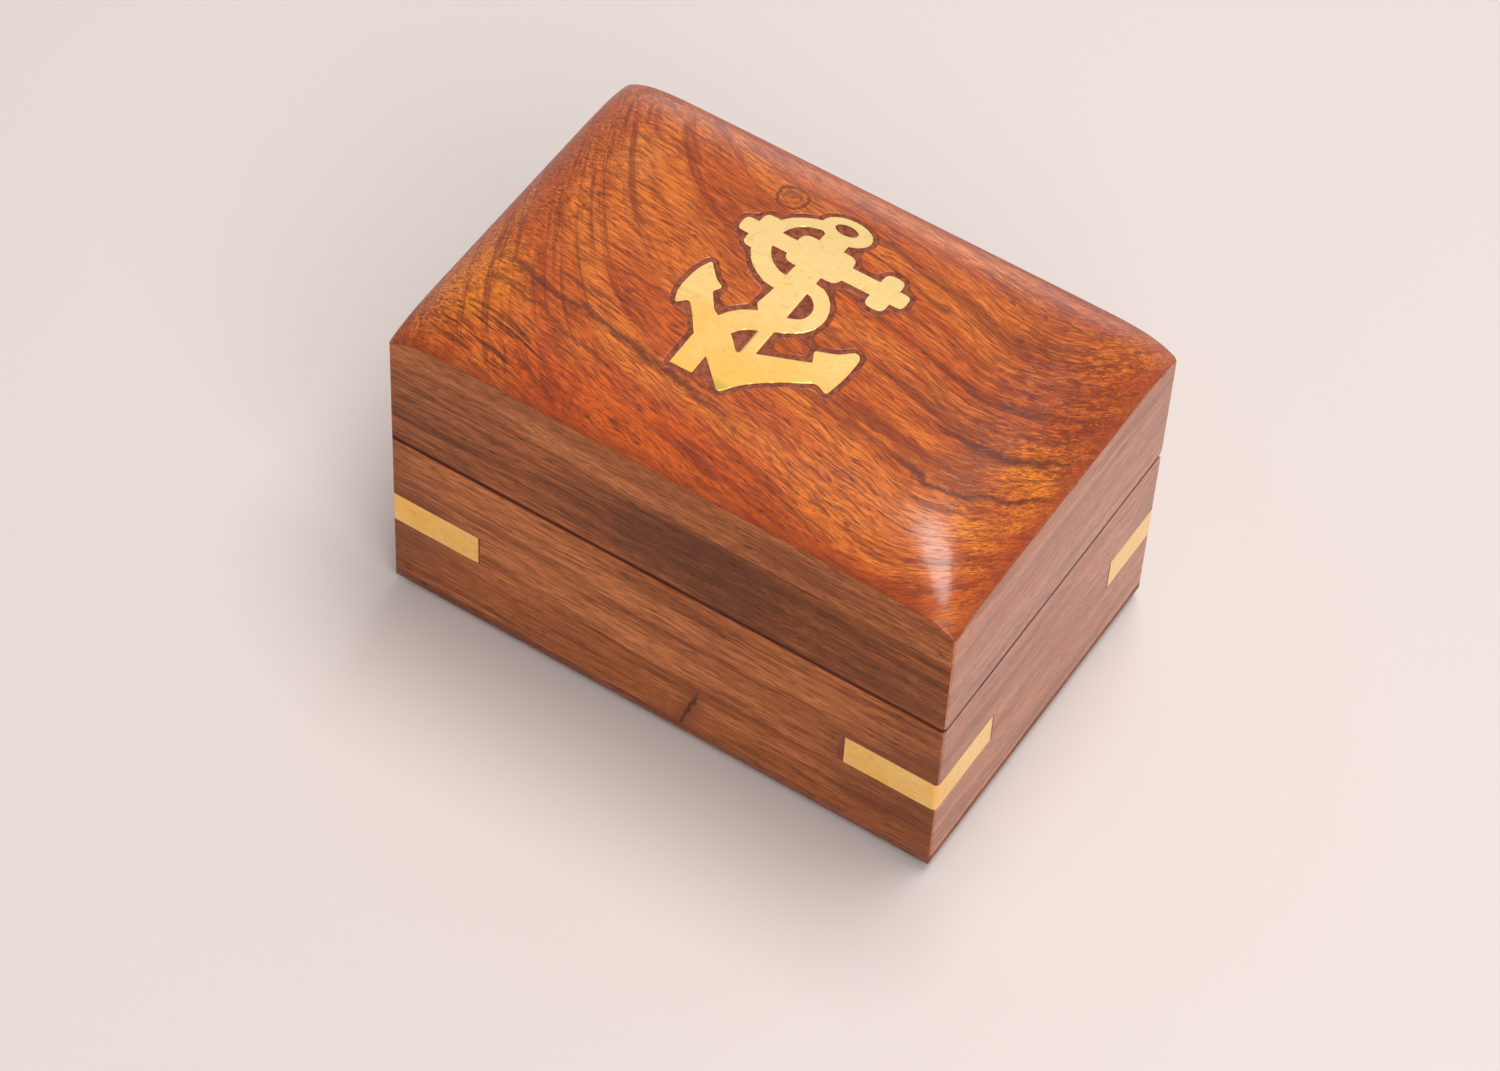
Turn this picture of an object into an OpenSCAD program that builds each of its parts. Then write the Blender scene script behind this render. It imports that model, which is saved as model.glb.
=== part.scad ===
// Small wooden ditty box with a crowned lid, brass corner strips and an inlaid fouled anchor.
// The origin is the middle of the underside. The long front looks along -Y, and the hinges are at the back.

/* [Box] */
// Length of the box along its front
box_l = 102; // [90:1:150]
// Depth of the box from front to back
box_w = 66.5; // [64:0.5:110]
// Height of the base from the underside to its rim
base_h = 37; // [32:0.5:60]
// Height of the four rails of the lid
rail_h = 16; // [12:0.5:30]
// Thickness of the base walls and of the lid rails
wall_t = 6.5; // [6.2:0.1:9]
// Radius of the eased upright corners
corner_ease = 0.8; // [0.4:0.1:1.1]
// Gap between the rim of the base and the rim of the lid
seam_gap = 0.3; // [0.2:0.05:0.5]

/* [Bottom board] */
// Thickness of the bottom board
board_t = 4; // [3:0.5:8]
// Radius of the rounded lower edges of the bottom board
board_round = 3; // [1:0.25:3]

/* [Felt] */
// Thickness of the felt on the floor of the base
felt_t = 1; // [0.6:0.1:2]
// Gap between the felt and the walls
felt_gap = 0.2; // [0.1:0.05:0.6]

/* [Corner strips] */
// Thickness of the brass strip let into the walls
strip_t = 1.2; // [0.8:0.1:1.6]
// Width of the strip, measured up the wall
strip_w = 6.4; // [4:0.1:9]
// Distance from the rim down to the upper edge of the strip
strip_down = 14; // [10:0.5:17]
// Length of a strip along a long wall
strip_long_leg = 16.7; // [8:0.1:25]
// Length of a front strip along a short wall
front_short_leg = 16.4; // [8:0.1:25]
// Length of a back strip along a short wall
back_short_leg = 13.7; // [8:0.1:25]
// Dark filling between the end of a strip and the end of its groove
end_filling = 0.4; // [0.2:0.1:1.5]
// The same filling where the groove of the front right strip was cut too long
wide_end_filling = 1.1; // [0.2:0.1:2]

/* [Crowned top] */
// Thickness of the top board at its corners
top_corner_t = 6.1; // [5:0.1:9]
// Fall of the crown from its centre to the middle of a short edge
short_edge_fall = 5.8; // [4:0.1:6.5]
// Fall of the crown from its centre to the middle of a long edge
long_edge_fall = 4.45; // [3:0.05:5]
// Power of the fall towards the short edges: high keeps the middle flat
end_power = 8.5; // [4:0.5:10]
// Power of the fall towards the long edges
side_power = 4.5; // [3:0.1:5]
// Sharpness of the hips that rise from the corners
hip_power = 1.9; // [1.4:0.1:3]

/* [Anchor] */
// Height of the anchor from the top of its ring to its foot
anchor_h = 41.7; // [37:0.1:43]
// Distance of the shank to the left of the middle of the lid
anchor_left = 2.3; // [0:0.1:6]
// Distance of the stock behind the middle of the lid
anchor_back = 13.2; // [11:0.1:15]
// Depth of the pocket below the top of the crown
pocket_depth = 4.2; // [3.8:0.1:5.5]
// Width of the dark filling round the anchor
filling_w = 0.9; // [0.4:0.1:1.3]
// The carver clears the pocket right through where a gap in the anchor is narrower than twice this
clearing = 1.6; // [0.4:0.1:2]
// Thickness of the filling under the anchor
filling_t = 0.3; // [0.2:0.1:0.8]
// How far the filling lies below the polished surface
filling_sink = 0.08; // [0.04:0.02:0.2]
// Reach of the stock to the left of the shank
stock_left = 14.2; // [13:0.1:15]
// Reach of the stock to the right of the shank
stock_right = 15.8; // [13:0.1:17]
// Width of the stock bar
stock_w = 3.1; // [2.4:0.1:3.6]
// Half width of the ring at the head
ring_rx = 4.4; // [4:0.1:5]
// Half height of the ring at the head
ring_ry = 2.9; // [2.6:0.1:3.4]
// Half width of the eye in the ring
eye_rx = 2; // [1.2:0.1:2.4]
// Half height of the eye in the ring
eye_ry = 1.15; // [0.8:0.05:1.4]

/* [Hinges] */
// Distance from the end of the box to the middle of each hinge
hinge_from_end = 22; // [17:0.5:31]
// Length of a hinge
hinge_l = 16; // [12:0.5:20]
// Outer radius of the hinge barrel
barrel_r = 1.2; // [1.1:0.05:1.3]
// Radius of the hinge pin
pin_r = 0.6; // [0.5:0.05:0.65]
// Radial play of the pin in the lid's knuckle
pin_play = 0.05; // [0.03:0.01:0.08]
// Gap between neighbouring knuckles
knuckle_gap = 0.2; // [0.15:0.05:0.4]
// Thickness of a hinge leaf
leaf_t = 0.9; // [0.7:0.05:1]
// Width of a hinge leaf from the pin's axis to its free edge
leaf_w = 4.8; // [4.6:0.1:4.9]
// Distance of the pin's axis from the back face
axis_in = 1.25; // [1.25:0.05:1.4]
// Clearance round the barrel in the wood
barrel_clear = 0.3; // [0.25:0.05:0.5]
// Angle of the stop bevels from the upright back face
bevel_angle = 38; // [30:1:38]

/* [Hinge screws] */
// Radius of the screw's shank
screw_r = 0.65; // [0.5:0.05:0.8]
// Radius of the countersunk head
head_r = 1.2; // [1:0.05:1.25]
// Height of the countersunk head
head_h = 0.6; // [0.4:0.05:0.65]
// Length of the screw with its head
screw_l = 8; // [5:0.5:10]
// Distance of a screw from the middle of its hinge
screw_out = 4.8; // [3:0.1:4.8]
// Play of a screw in its hole
screw_play = 0.02; // [0.01:0.01:0.05]
// Width of the slot in the head
slot_w = 0.35; // [0.2:0.05:0.5]

/* [Hidden] */
$fn = 48;

half_l = box_l / 2;
half_w = box_w / 2;
hinge_out = half_l - hinge_from_end;
lid_z = base_h + seam_gap;
top_board_z = lid_z + rail_h;
strip_top = base_h - strip_down;
strip_bottom = strip_top - strip_w;
axis_y = half_w - axis_in;
axis_z = base_h + seam_gap / 2;
groove_r = barrel_r + barrel_clear;
bore_r = pin_r + pin_play;
knuckle_l = (hinge_l - 2 * knuckle_gap) / 3;
screw_y = axis_y - (leaf_w + groove_r) / 2;
margin = 1;

// Colours as the photograph shows them
side_wood = [0.36, 0.25, 0.2];
pale_wood = [0.5, 0.36, 0.28];
top_wood = [0.66, 0.31, 0.15];
brass = [0.93, 0.75, 0.4];
dark_filling = [0.25, 0.12, 0.08];
felt_colour = [0.1, 0.13, 0.22];

// The plan of the box, with its eased upright corners
module plan() {
    square([box_l - 2 * corner_ease, box_w], center = true);
    square([box_l, box_w - 2 * corner_ease], center = true);
    for (x = [-1, 1], y = [-1, 1]) {
        translate([x * (half_l - corner_ease), y * (half_w - corner_ease)])
            circle(r = corner_ease);
    }
}

module slab(z, h) {
    translate([0, 0, z])
        linear_extrude(h)
            plan();
}

// One side of a mitred frame: long sides lie along X and short sides along Y
module long_side(side, z, h) {
    intersection() {
        slab(z, h);
        translate([0, 0, z])
            linear_extrude(h)
                polygon([
                    [-half_l, side * half_w],
                    [half_l, side * half_w],
                    [half_l - wall_t, side * (half_w - wall_t)],
                    [-half_l + wall_t, side * (half_w - wall_t)]
                ]);
    }
}

module short_side(side, z, h) {
    intersection() {
        slab(z, h);
        translate([0, 0, z])
            linear_extrude(h)
                polygon([
                    [side * half_l, -half_w],
                    [side * half_l, half_w],
                    [side * (half_l - wall_t), half_w - wall_t],
                    [side * (half_l - wall_t), -half_w + wall_t]
                ]);
    }
}

// The brass strips bend round the corners of the base

function short_leg(y) = y < 0 ? front_short_leg : back_short_leg;
function long_filling(x, y) = x > 0 && y < 0 ? wide_end_filling : end_filling;

// The two legs of a strip or of its groove, seen from above at the corner with signs x and y
module corner_legs(x, y, long_leg, side_leg) {
    mirror([x < 0 ? 1 : 0, 0])
        mirror([0, y < 0 ? 1 : 0]) {
            translate([half_l - long_leg, half_w - strip_t])
                square([long_leg, strip_t]);
            translate([half_l - strip_t, half_w - side_leg])
                square([strip_t, side_leg]);
        }
}

module corner_strip(x, y) {
    intersection() {
        slab(strip_bottom, strip_w);
        translate([0, 0, strip_bottom])
            linear_extrude(strip_w)
                corner_legs(x, y, strip_long_leg, short_leg(y));
    }
}

module strip_groove(x, y) {
    translate([0, 0, strip_bottom])
        linear_extrude(strip_w)
            corner_legs(x, y, strip_long_leg + long_filling(x, y), short_leg(y) + end_filling);
}

module strip_grooves() {
    for (x = [-1, 1], y = [-1, 1]) {
        strip_groove(x, y);
    }
}

module strip_filling() {
    color(dark_filling)
        for (x = [-1, 1], y = [-1, 1]) {
            fill_l = long_filling(x, y);
            mirror([x < 0 ? 1 : 0, 0, 0])
                mirror([0, y < 0 ? 1 : 0, 0]) {
                    translate([half_l - strip_long_leg - fill_l, half_w - strip_t, strip_bottom])
                        cube([fill_l, strip_t, strip_w]);
                    translate([half_l - strip_t, half_w - short_leg(y) - end_filling, strip_bottom])
                        cube([strip_t, end_filling, strip_w]);
                }
        }
}

module strip_front_left() {
    color(brass)
        corner_strip(-1, -1);
}

module strip_front_right() {
    color(brass)
        corner_strip(1, -1);
}

module strip_back_left() {
    color(brass)
        corner_strip(-1, 1);
}

module strip_back_right() {
    color(brass)
        corner_strip(1, 1);
}

// Hinges: each is drawn about its own pin, which lies along X through the origin

module along_x(l, r) {
    rotate([0, 90, 0])
        cylinder(h = l, r = r, center = true);
}

module on_axis(side) {
    translate([side * hinge_out, axis_y, axis_z])
        children();
}

// A leaf below the axis: up = -1 is the base's leaf and up = 1 is the lid's
module leaf_plate(up) {
    low = up < 0 ? -seam_gap / 2 - leaf_t : seam_gap / 2;
    translate([-hinge_l / 2, -leaf_w, low])
        cube([hinge_l, leaf_w, leaf_t]);
}

module screw_holes(up) {
    for (x = [-1, 1]) {
        translate([x * screw_out, screw_y - axis_y, up * seam_gap / 2])
            mirror([0, 0, up > 0 ? 1 : 0])
                rotate_extrude()
                    screw_profile(screw_play);
    }
}

// Room for the knuckles of the other leaf
module knuckle_room(l) {
    along_x(l, groove_r);
}

module base_leaf() {
    difference() {
        union() {
            leaf_plate(-1);
            for (x = [-1, 1]) {
                translate([x * (knuckle_l + knuckle_gap), 0, 0])
                    along_x(knuckle_l, barrel_r);
            }
        }
        knuckle_room(knuckle_l + 2 * knuckle_gap);
        along_x(hinge_l + 2 * margin, pin_r);
        screw_holes(-1);
    }
}

module lid_leaf() {
    difference() {
        union() {
            difference() {
                leaf_plate(1);
                for (x = [-1, 1]) {
                    translate([x * (knuckle_l + knuckle_gap), 0, 0])
                        knuckle_room(knuckle_l + 2 * knuckle_gap);
                }
            }
            along_x(knuckle_l, barrel_r);
        }
        along_x(hinge_l + 2 * margin, bore_r);
        screw_holes(1);
    }
}

module base_leaf_left() {
    color(brass)
        on_axis(-1)
            base_leaf();
}

module base_leaf_right() {
    color(brass)
        on_axis(1)
            base_leaf();
}

module lid_leaf_left() {
    color(brass)
        on_axis(-1)
            lid_leaf();
}

module lid_leaf_right() {
    color(brass)
        on_axis(1)
            lid_leaf();
}

module hinge_pin_left() {
    color(brass)
        on_axis(-1)
            along_x(hinge_l, pin_r);
}

module hinge_pin_right() {
    color(brass)
        on_axis(1)
            along_x(hinge_l, pin_r);
}

// Half section of a screw that points down, with its head at height 0
module screw_profile(play) {
    r = screw_r + play;
    polygon([
        [0, 0],
        [head_r + play, 0],
        [r, -head_h - play],
        [r, -screw_l + 2 * r],
        [0, -screw_l - play]
    ]);
}

module screw() {
    difference() {
        rotate_extrude()
            screw_profile(0);
        translate([-head_r - margin, -slot_w / 2, -head_h / 2])
            cube([2 * head_r + 2 * margin, slot_w, head_h]);
    }
}

module hinge_screws(up) {
    for (side = [-1, 1], x = [-1, 1]) {
        on_axis(side)
            translate([x * screw_out, screw_y - axis_y, up * seam_gap / 2])
                mirror([0, 0, up > 0 ? 1 : 0])
                    screw();
    }
}

module base_hinge_screws() {
    color(brass)
        hinge_screws(-1);
}

module lid_hinge_screws() {
    color(brass)
        hinge_screws(1);
}

// What the hinges take out of the wood: leaf mortises, barrel grooves and screw holes
module hinge_cuts(up) {
    for (side = [-1, 1]) {
        on_axis(side) {
            leaf_plate(up);
            along_x(hinge_l + 2 * knuckle_gap, groove_r);
            screw_holes(up);
        }
    }
}

// The bevel along the back edge of a rim, which stops the open lid just past upright
module stop_bevel(up) {
    rise = axis_in / tan(bevel_angle);
    grow = (axis_in + margin) / axis_in;
    translate([-half_l - margin, axis_y, axis_z + up * seam_gap / 2])
        rotate([90, 0, 90])
            linear_extrude(box_l + 2 * margin)
                polygon([
                    [0, 0],
                    [axis_in * grow, up * rise * grow],
                    [axis_in * grow, -up * margin],
                    [0, -up * margin]
                ]);
}

// Base

module base_front_wall() {
    color(side_wood)
        difference() {
            long_side(-1, board_t, base_h - board_t);
            strip_grooves();
        }
}

module base_back_wall() {
    color(side_wood)
        difference() {
            long_side(1, board_t, base_h - board_t);
            strip_grooves();
            hinge_cuts(-1);
            stop_bevel(-1);
        }
}

module base_left_wall() {
    color(side_wood)
        difference() {
            short_side(-1, board_t, base_h - board_t);
            strip_grooves();
            stop_bevel(-1);
        }
}

module base_right_wall() {
    color(side_wood)
        difference() {
            short_side(1, board_t, base_h - board_t);
            strip_grooves();
            stop_bevel(-1);
        }
}

// Cross section of the bottom board, with both lower edges rounded
module board_section(width) {
    r = min(board_round, board_t);
    translate([-width / 2, r])
        square([width, board_t - r + margin]);
    translate([-width / 2 + r, 0])
        square([width - 2 * r, board_t]);
    for (x = [-1, 1]) {
        translate([x * (width / 2 - r), r])
            circle(r = r);
    }
}

module base_board() {
    color(pale_wood)
        intersection() {
            slab(0, board_t);
            translate([0, half_w + margin, 0])
                rotate([90, 0, 0])
                    linear_extrude(box_w + 2 * margin)
                        board_section(box_l);
            translate([-half_l - margin, 0, 0])
                rotate([90, 0, 90])
                    linear_extrude(box_l + 2 * margin)
                        board_section(box_w);
        }
}

module floor_felt() {
    inset = 2 * (wall_t + felt_gap);
    color(felt_colour)
        translate([0, 0, board_t + felt_t / 2])
            cube([box_l - inset, box_w - inset, felt_t], center = true);
}

// Lid

module lid_front_rail() {
    color(side_wood)
        long_side(-1, lid_z, rail_h);
}

module lid_back_rail() {
    color(side_wood)
        difference() {
            long_side(1, lid_z, rail_h);
            hinge_cuts(1);
            stop_bevel(1);
        }
}

module lid_left_rail() {
    color(side_wood)
        difference() {
            short_side(-1, lid_z, rail_h);
            stop_bevel(1);
        }
}

module lid_right_rail() {
    color(side_wood)
        difference() {
            short_side(1, lid_z, rail_h);
            stop_bevel(1);
        }
}

// The crown falls towards the ends and towards the sides, and the two falls meet in soft hips

function end_fall(x) = short_edge_fall * pow(abs(x) / half_l, end_power);
function side_fall(y) = long_edge_fall * pow(abs(y) / half_w, side_power);
function blended(a, b) = pow(pow(a, hip_power) + pow(b, hip_power), 1 / hip_power);

crown_top = top_board_z + top_corner_t + blended(short_edge_fall, long_edge_fall);
pocket_z = crown_top - pocket_depth;

function crown_z(x, y) = crown_top - blended(end_fall(x), side_fall(y));

crown_nx = 28;
crown_ny = 18;
crown_xs = [for (i = [0:crown_nx]) (half_l + margin) * sin(90 * (2 * i / crown_nx - 1))];
crown_ys = [for (j = [0:crown_ny]) (half_w + margin) * sin(90 * (2 * j / crown_ny - 1))];

function at(i, j) = j * (crown_nx + 1) + i;

// Cells are split towards the centre of the lid, so that the folds run with the hips
function cell(i, j) =
    (i + 0.5 - crown_nx / 2) * (j + 0.5 - crown_ny / 2) > 0
        ? [[at(i, j), at(i, j + 1), at(i + 1, j + 1)], [at(i, j), at(i + 1, j + 1), at(i + 1, j)]]
        : [[at(i, j), at(i, j + 1), at(i + 1, j)], [at(i + 1, j), at(i, j + 1), at(i + 1, j + 1)]];

// A block from below the top board up to the crown, lowered by drop
module crown_block(drop = 0) {
    low = top_board_z - margin;
    last_x = crown_xs[crown_nx];
    last_y = crown_ys[crown_ny];
    first = (crown_nx + 1) * (crown_ny + 1);
    surface = [for (y = crown_ys, x = crown_xs) [x, y, crown_z(x, y) - drop]];
    feet = [[-last_x, -last_y, low], [last_x, -last_y, low], [last_x, last_y, low], [-last_x, last_y, low]];
    polyhedron(
        points = concat(surface, feet),
        faces = concat(
            [for (j = [0:crown_ny - 1], i = [0:crown_nx - 1]) each cell(i, j)],
            [concat([first], [for (i = [0:crown_nx]) at(i, 0)], [first + 1])],
            [concat([first + 1], [for (j = [0:crown_ny]) at(crown_nx, j)], [first + 2])],
            [concat([first + 2], [for (i = [crown_nx:-1:0]) at(i, crown_ny)], [first + 3])],
            [concat([first + 3], [for (j = [crown_ny:-1:0]) at(0, j)], [first])],
            [[first, first + 1, first + 2, first + 3]]
        )
    );
}

// Outline of the anchor, with its origin where the shank crosses the stock. It is drawn at its usual
// size, and then grows or shrinks as a whole to the height that is asked for.
ring_up = 7.7;
foot_down = 31.1;
anchor_growth = anchor_h / (ring_up + ring_ry + foot_down);

module to_size() {
    scale([anchor_growth, anchor_growth])
        children();
}

// Softens each corner of a closed outline of [x, y, cut] points with a short curve
function unit(v) = v / norm(v);
function flat(p) = [p[0], p[1]];
function curve_point(a, b, c, t) = (1 - t) * (1 - t) * a + 2 * t * (1 - t) * b + t * t * c;
function softened(points) =
    let (n = len(points))
    [for (i = [0:n - 1])
        let (
            here = flat(points[i]),
            back = flat(points[(i + n - 1) % n]) - here,
            ahead = flat(points[(i + 1) % n]) - here,
            start = here + min(points[i][2], norm(back) / 2) * unit(back),
            end = here + min(points[i][2], norm(ahead) / 2) * unit(ahead)
        )
        for (t = [0:0.25:1]) curve_point(start, here, end, t)];

module soft_bar(left, right, low, high, cut) {
    polygon(softened([[left, low, cut], [right, low, cut], [right, high, cut], [left, high, cut]]));
}

module oval(x, y, rx, ry) {
    polygon([for (a = [0:15:345]) [x + rx * cos(a), y + ry * sin(a)]]);
}

// The stock ends in a cross lobe and a knob on each side, and swells where it meets the shank
lobe_w = 3.5;
lobe_h = 7.6;
knob = 2.2;
lobe_places = [knob + lobe_w / 2 - stock_left, stock_right - knob - lobe_w / 2];

module stock_bar() {
    soft_bar(-stock_left, stock_right, -stock_w / 2, stock_w / 2, 1);
}

module stock_lobe(x) {
    soft_bar(x - lobe_w / 2, x + lobe_w / 2, -lobe_h / 2, lobe_h / 2, 1.4);
}

swell_w = 10;
swell_low = -3;
swell_high = 3.6;

module stock_swell() {
    soft_bar(-swell_w / 2, swell_w / 2, swell_low, swell_high, 1.8);
}

// The eye sits a little high and to the left in the ring
eye_shift = [-0.2, 0.25];
ring_right = 0.25;

module head_ring() {
    oval(ring_right, ring_up, ring_rx, ring_ry);
}

module ring_eye() {
    oval(ring_right + eye_shift[0], ring_up + eye_shift[1], eye_rx, eye_ry);
}

// The neck joins the ring to the stock. Below it the shank runs down behind the rope to the arms.
shank_left = -2.3;
shank_right = 2.1;

module neck() {
    soft_bar(shank_left, shank_right, 0, ring_up - 0.8, 0.2);
}

module shank() {
    polygon([
        [shank_left, 0],
        [-2.8, -9.8],
        [-3.2, -12.8],
        [-0.1, -17.2],
        [-0.1, -23.6],
        [shank_right, -23.6],
        [shank_right, 0]
    ]);
}

// Arms and flukes, from the foot of the shank round the right fluke, the crown and the left fluke
arm_outline = [
    [2.1, -21.6, 0.3], [10.2, -18.2, 0.4], [9.1, -16, 0.6], [12.7, -14.6, 1], [14.7, -12.6, 0.9], [15.9, -13.4, 1],
    [16, -17.7, 2], [15.2, -22.4, 0.6], [12.9, -21.3, 0.8], [7.9, -24.4, 2], [3.8, -27.6, 2], [1.2, -31.1, 0.7],
    [-1.3, -28.6, 2], [-3.7, -26.4, 0.5], [-8, -23.4, 1], [-9.2, -21.6, 1], [-12.1, -18.1, 0.9], [-13.7, -19.9, 0.6],
    [-14.9, -17.2, 2], [-14.6, -12.2, 2], [-13.5, -9.6, 0.5], [-10.9, -12.4, 1], [-9.2, -13.2, 0.6], [-10.1, -14.7, 0.4],
    [-7.9, -17.7, 0.5], [-3.1, -20.3, 1], [-0.5, -23, 0.4]
];

// The rope winds from the ring round the stock and the shank: [x, y, width] along its middle
rope_points = [
    [-2.9, 6.9, 2.2], [-5.3, 6.1, 2], [-7.5, 4.5, 2.1], [-8.8, 2.4, 2.4], [-9.2, -0.1, 2.9], [-9, -2.4, 3.1],
    [-7.8, -4.6, 3.2], [-5.7, -6.3, 3.2], [-2.7, -7.2, 3.3], [2, -5.7, 2.6], [4.3, -6.6, 2.6], [5.7, -8.5, 2.5],
    [6, -10.7, 2.6], [5.1, -12.8, 2.7], [2.7, -14.3, 3.1], [-0.3, -15.4, 3.9], [-3.2, -16.9, 4.1], [-5, -19.4, 4.1],
    [-5.8, -22.7, 4.1], [-5.9, -26.1, 4], [-5.9, -30.1, 4]
];

function rope_at(i) = rope_points[max(0, min(len(rope_points) - 1, i))];
function smooth_point(a, b, c, d, t) =
    0.5 * (2 * b + (c - a) * t + (2 * a - 5 * b + 4 * c - d) * t * t + (3 * b - a - 3 * c + d) * t * t * t);
rope_line = concat(
    [for (i = [0:len(rope_points) - 2], t = [0, 0.5])
        smooth_point(rope_at(i - 1), rope_at(i), rope_at(i + 1), rope_at(i + 2), t)],
    [rope_at(len(rope_points) - 1)]
);
rope_n = len(rope_line);

function rope_run(i) = unit(flat(rope_line[min(i + 1, rope_n - 1)] - rope_line[max(i - 1, 0)]));
function rope_edge(i, side) =
    let (run = rope_run(i))
    flat(rope_line[i]) + side * rope_line[i][2] / 2 * [-run[1], run[0]];

module rope() {
    polygon(concat(
        [for (i = [0:rope_n - 1]) rope_edge(i, 1)],
        [for (i = [rope_n - 1:-1:0]) rope_edge(i, -1)]
    ));
}

module arms() {
    polygon(softened(arm_outline));
}

module anchor_outline() {
    difference() {
        union() {
            stock_bar();
            for (x = lobe_places) {
                stock_lobe(x);
            }
            stock_swell();
            head_ring();
            neck();
            shank();
            arms();
            rope();
        }
        ring_eye();
    }
}

module raised() {
    linear_extrude(pocket_depth + margin)
        to_size()
            children();
}

module anchor_prism(z) {
    translate([-anchor_left, anchor_back, z])
        difference() {
            union() {
                raised() stock_bar();
                for (x = lobe_places) {
                    raised() stock_lobe(x);
                }
                raised() stock_swell();
                raised() head_ring();
                raised() neck();
                raised() shank();
                raised() arms();
                raised() rope();
            }
            raised() ring_eye();
        }
}

module pocket_prism() {
    translate([-anchor_left, anchor_back, pocket_z])
        linear_extrude(pocket_depth + margin)
            offset(r = -clearing, $fn = 16)
                offset(r = filling_w + clearing, $fn = 16)
                    to_size()
                        anchor_outline();
}

module lid_top_board() {
    color(top_wood)
        difference() {
            intersection() {
                slab(top_board_z, crown_top - top_board_z + margin);
                crown_block();
            }
            pocket_prism();
        }
}

module anchor_inlay() {
    color(brass)
        intersection() {
            anchor_prism(pocket_z + filling_t);
            crown_block();
        }
}

module anchor_filling() {
    color(dark_filling)
        difference() {
            intersection() {
                pocket_prism();
                crown_block(filling_sink);
            }
            anchor_prism(pocket_z + filling_t);
        }
}

base_front_wall();
base_back_wall();
base_left_wall();
base_right_wall();
base_board();
floor_felt();
strip_front_left();
strip_front_right();
strip_back_left();
strip_back_right();
strip_filling();
base_leaf_left();
base_leaf_right();
hinge_pin_left();
hinge_pin_right();
base_hinge_screws();
lid_front_rail();
lid_back_rail();
lid_left_rail();
lid_right_rail();
lid_top_board();
anchor_inlay();
anchor_filling();
lid_leaf_left();
lid_leaf_right();
lid_hinge_screws();
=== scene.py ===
# %% [markdown]
# # A small inlaid ditty box
# A ditty box keeps small belongings and papers. This one is rosewood: four mitred walls on a
# bottom board, and a lid of four mitred rails under a thick top that is crowned both ways. Brass
# strips hold the corners of the base, and a fouled anchor of sheet brass is let into the top.
#
# The CAD model is packed already and gives every size and place. This lesson dresses it: the
# wooden pieces get softened edges, the top gets a fine crown, and each piece gets its finish.

import math
from collections import namedtuple

import bpy
import numpy as np
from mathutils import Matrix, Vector


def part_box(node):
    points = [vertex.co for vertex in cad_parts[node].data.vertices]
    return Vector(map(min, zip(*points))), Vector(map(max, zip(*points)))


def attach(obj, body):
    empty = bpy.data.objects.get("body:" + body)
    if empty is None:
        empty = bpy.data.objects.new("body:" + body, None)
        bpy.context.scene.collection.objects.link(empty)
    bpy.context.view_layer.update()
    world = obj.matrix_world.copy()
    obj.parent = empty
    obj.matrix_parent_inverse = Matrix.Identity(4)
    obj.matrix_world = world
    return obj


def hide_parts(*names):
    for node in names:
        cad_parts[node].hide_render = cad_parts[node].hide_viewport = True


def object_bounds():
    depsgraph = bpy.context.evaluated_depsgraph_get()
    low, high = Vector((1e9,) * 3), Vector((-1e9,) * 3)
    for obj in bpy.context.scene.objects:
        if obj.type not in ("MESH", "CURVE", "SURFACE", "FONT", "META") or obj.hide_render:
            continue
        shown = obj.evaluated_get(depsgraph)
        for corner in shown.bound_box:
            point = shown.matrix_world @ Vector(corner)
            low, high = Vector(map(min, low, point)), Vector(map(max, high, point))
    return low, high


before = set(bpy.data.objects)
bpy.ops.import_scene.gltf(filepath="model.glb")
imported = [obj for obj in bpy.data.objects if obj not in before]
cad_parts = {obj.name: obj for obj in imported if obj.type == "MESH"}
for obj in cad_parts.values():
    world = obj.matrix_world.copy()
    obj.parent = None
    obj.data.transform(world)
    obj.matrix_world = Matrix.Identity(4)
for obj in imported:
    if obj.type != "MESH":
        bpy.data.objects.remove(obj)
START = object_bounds()
MM = 0.001
print("model in mm:", [round(c / MM, 2) for corner in START for c in corner])

# %% [markdown]
# ## The camera
# The picture looks down on the nearest corner of the box from three quarters of a metre, and it
# leans a few degrees, as a camera in the hand does. Its place could be found by trial and error.
# Here it was solved from the corners of the box, so it is a few plain numbers. A long lens from
# further away keeps the edges of the box almost parallel, and no shift is needed.

# %% Place the camera
CAMERA_AT = Vector((237.73, -420.33, 625.17)) * MM
LOOKS_AT = Vector((1.532, -9.556, 24.757)) * MM
LEAN = math.radians(3.635)
FOCAL_LENGTH, SENSOR_WIDTH = 116.06, 36  # millimetres
SEES_FROM, SEES_TO = 0.05, 20  # metres

lens = bpy.data.cameras.new("camera")
lens.lens, lens.sensor_width = FOCAL_LENGTH, SENSOR_WIDTH
lens.clip_start, lens.clip_end = SEES_FROM, SEES_TO
camera = bpy.data.objects.new("camera", lens)
bpy.context.collection.objects.link(camera)
camera.location = CAMERA_AT
camera.rotation_euler = (LOOKS_AT - CAMERA_AT).to_track_quat("-Z", "Y").to_euler()
camera.rotation_euler.rotate_axis("Z", LEAN)
bpy.context.scene.camera = camera
print("camera is", round((CAMERA_AT - LOOKS_AT).length, 3), "m from the box")

# %% [markdown]
# ## Nodes by function
# Daylight and finishes are both built from shader nodes. They can be laid out by hand in the node
# editor, which is the best place to try a look, but a wood has more than a hundred of them. Three
# small functions that add a node, feed its inputs and hand back an output keep the recipe short
# enough to read, and later cells add a few more where they are needed.

# %% Define the first node helpers
SOFT = "SMOOTHSTEP"


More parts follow.
